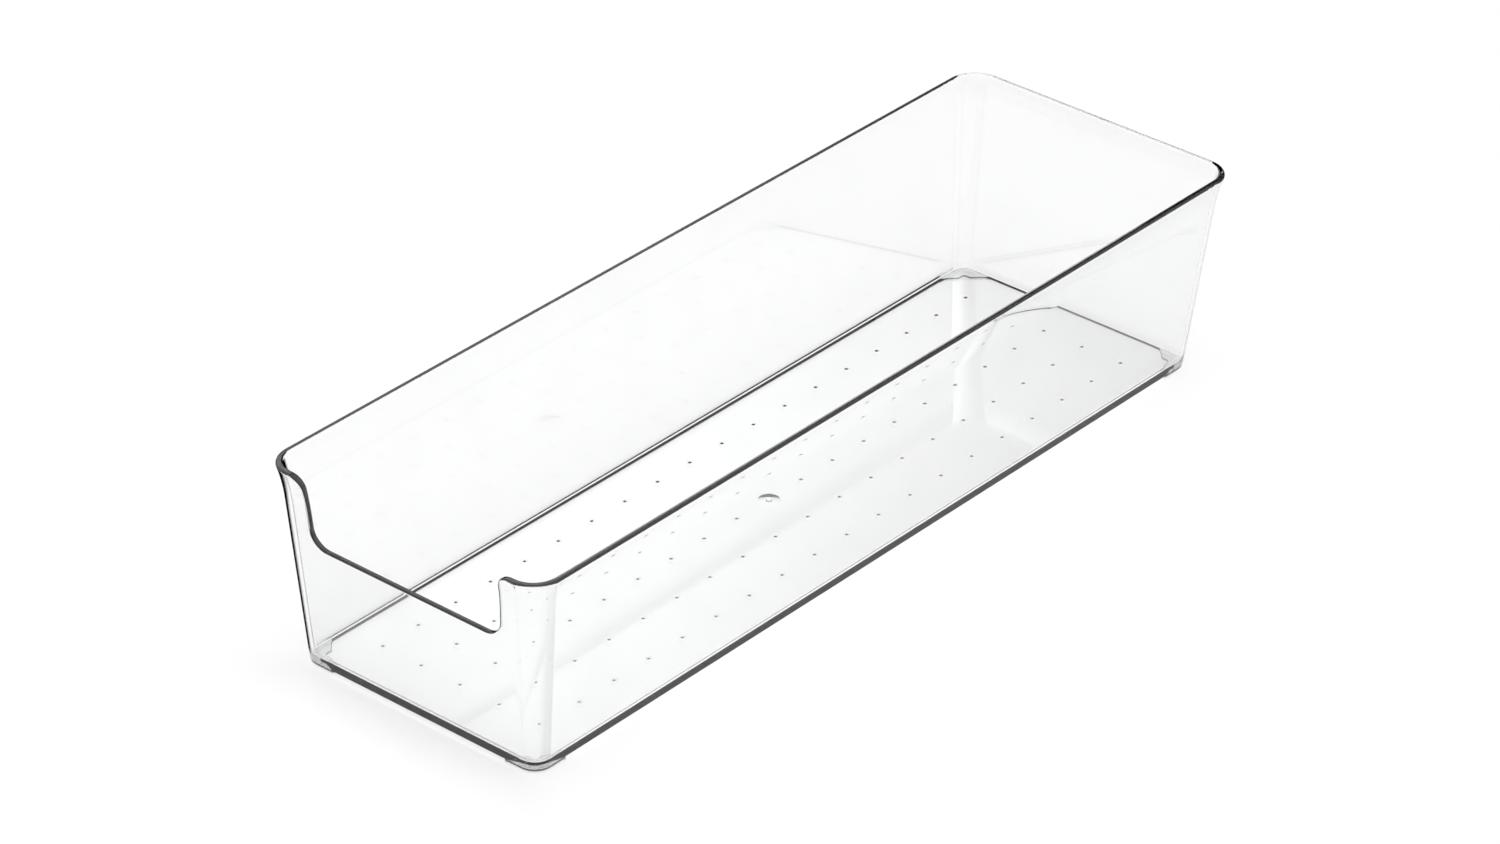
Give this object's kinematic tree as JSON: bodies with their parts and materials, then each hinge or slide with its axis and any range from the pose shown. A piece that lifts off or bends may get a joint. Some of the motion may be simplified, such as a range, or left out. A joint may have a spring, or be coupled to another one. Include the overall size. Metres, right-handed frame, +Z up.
{
  "type": "fridge bin",
  "caption": "Long, narrow clear open-top refrigerator bin with tapered walls, a lowered front, a dotted floor and L-shaped corner feet.",
  "frame": {"origin": "on the surface the bin stands on, under the middle of the rim", "axes": "+Z up, -Y towards the lowered front, +X to the right seen from the front, length along Y"},
  "size_m": [0.1012, 0.3043, 0.064],
  "materials": {
    "clear_plastic": "polished clear rigid plastic, colourless",
    "clear_grip": "clear soft plastic, slightly hazy"
  },
  "bodies": {
    "root": {"bin_shell": "clear_plastic", "front_left_foot": "clear_grip", "front_right_foot": "clear_grip", "rear_left_foot": "clear_grip", "rear_right_foot": "clear_grip"}
  },
  "joints": []
}
